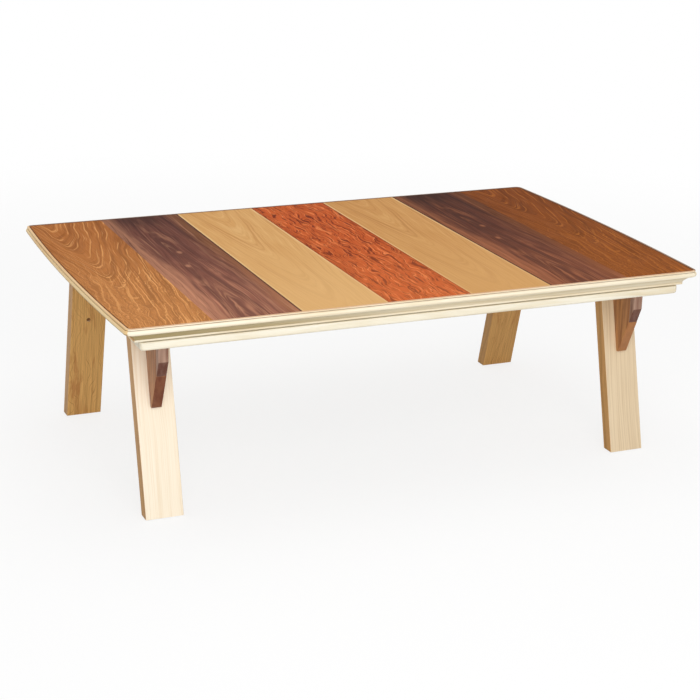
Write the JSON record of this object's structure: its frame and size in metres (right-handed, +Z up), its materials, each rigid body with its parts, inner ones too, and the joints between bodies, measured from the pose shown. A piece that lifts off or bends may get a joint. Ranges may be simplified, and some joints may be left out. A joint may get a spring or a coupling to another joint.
{
  "type": "kotatsu table",
  "caption": "Low heated table with a lift-off striped veneer board, moulded edge, splayed plank legs with brackets, and a fan heater hung in the under-frame.",
  "frame": {"origin": "on the floor under the middle of the table", "axes": "+X along the table's long side, +Y from the front to the back, +Z up"},
  "size_m": [1.35, 0.85, 0.45],
  "materials": {
    "top_core": "sanded",
    "top_backing": "satin",
    "veneer_zelkova_left": "satin lacquer",
    "veneer_walnut_left": "satin lacquer",
    "veneer_maple_left": "satin lacquer",
    "veneer_cherry_centre": "satin lacquer",
    "veneer_maple_right": "satin lacquer",
    "veneer_walnut_right": "satin lacquer",
    "veneer_zelkova_right": "satin lacquer",
    "edge_moulding_front": "satin lacquer",
    "edge_moulding_back": "satin lacquer",
    "edge_moulding_left": "satin lacquer",
    "edge_moulding_right": "satin lacquer",
    "frame_rail_front": "satin lacquer",
    "frame_rail_back": "satin lacquer",
    "end_board_left": "satin lacquer",
    "end_board_right": "satin lacquer",
    "heater_bar_left": "sanded",
    "heater_bar_right": "sanded",
    "heater_crossbar_front": "sanded",
    "heater_crossbar_back": "sanded",
    "frame_dowels": "raw",
    "top_pads": "matt",
    "foot_felts": "felt",
    "leg_hanger_bolts": "zinc plated",
    "leg_washers": "zinc plated",
    "leg_nuts": "zinc plated",
    "bracket_top_screws": "zinc plated",
    "bracket_leg_screws": "zinc plated",
    "heater_housing": "semi-matt",
    "heater_mount_screws": "zinc plated",
    "heater_bezel": "fine grain",
    "bezel_screws": "zinc plated",
    "heater_guard": "bright rim",
    "guard_wires": "bright wire",
    "reflector_tray": "bright",
    "quartz_tubes": "clear",
    "heating_coils": "oxidised",
    "tube_holders": "unglazed",
    "fan_motor": "plated",
    "fan_shaft": "ground",
    "fan_impeller": "mill",
    "thermostat": "plated",
    "thermal_fuse": "plain",
    "terminal_block": "plain",
    "power_inlet": "plain",
    "inlet_pins": "plain",
    "leg_front_left": "satin lacquer",
    "bracket_front_left": "satin lacquer",
    "bracket_strip_front_left": "satin lacquer",
    "leg_front_right": "satin lacquer",
    "bracket_front_right": "satin lacquer",
    "bracket_strip_front_right": "satin lacquer",
    "leg_back_left": "satin lacquer",
    "bracket_back_left": "satin lacquer",
    "bracket_strip_back_left": "satin lacquer",
    "leg_back_right": "satin lacquer",
    "bracket_back_right": "satin lacquer",
    "bracket_strip_back_right": "satin lacquer"
  },
  "bodies": {
    "base": {"frame_rail_front": "frame_rail_front", "frame_rail_back": "frame_rail_back", "end_board_left": "end_board_left", "end_board_right": "end_board_right", "heater_bar_left": "heater_bar_left", "heater_bar_right": "heater_bar_right", "heater_crossbar_front": "heater_crossbar_front", "heater_crossbar_back": "heater_crossbar_back", "frame_dowels": "frame_dowels", "top_pads": "top_pads", "foot_felts": "foot_felts", "leg_hanger_bolts": "leg_hanger_bolts", "leg_washers": "leg_washers", "leg_nuts": "leg_nuts", "bracket_top_screws": "bracket_top_screws", "bracket_leg_screws": "bracket_leg_screws", "heater_housing": "heater_housing", "heater_mount_screws": "heater_mount_screws", "heater_bezel": "heater_bezel", "bezel_screws": "bezel_screws", "heater_guard": "heater_guard", "guard_wires": "guard_wires", "reflector_tray": "reflector_tray", "quartz_tubes": "quartz_tubes", "heating_coils": "heating_coils", "tube_holders": "tube_holders", "fan_motor": "fan_motor", "thermostat": "thermostat", "thermal_fuse": "thermal_fuse", "terminal_block": "terminal_block", "power_inlet": "power_inlet", "inlet_pins": "inlet_pins", "leg_front_left": "leg_front_left", "bracket_front_left": "bracket_front_left", "bracket_strip_front_left": "bracket_strip_front_left", "leg_front_right": "leg_front_right", "bracket_front_right": "bracket_front_right", "bracket_strip_front_right": "bracket_strip_front_right", "leg_back_left": "leg_back_left", "bracket_back_left": "bracket_back_left", "bracket_strip_back_left": "bracket_strip_back_left", "leg_back_right": "leg_back_right", "bracket_back_right": "bracket_back_right", "bracket_strip_back_right": "bracket_strip_back_right"},
    "board": {"top_core": "top_core", "top_backing": "top_backing", "veneer_zelkova_left": "veneer_zelkova_left", "veneer_walnut_left": "veneer_walnut_left", "veneer_maple_left": "veneer_maple_left", "veneer_cherry_centre": "veneer_cherry_centre", "veneer_maple_right": "veneer_maple_right", "veneer_walnut_right": "veneer_walnut_right", "veneer_zelkova_right": "veneer_zelkova_right", "edge_moulding_front": "edge_moulding_front", "edge_moulding_back": "edge_moulding_back", "edge_moulding_left": "edge_moulding_left", "edge_moulding_right": "edge_moulding_right"},
    "fan": {"fan_shaft": "fan_shaft", "fan_impeller": "fan_impeller"}
  },
  "joints": [
    {"name": "board_lift", "type": "slide", "parent": "base", "child": "board", "axis": [0, 0, 1], "range_m": [0, 0.15]},
    {"name": "fan_spin", "type": "hinge", "parent": "base", "child": "fan", "pos_m": [0, 0, 0.386], "axis": [0, 0, 1], "continuous": true}
  ]
}
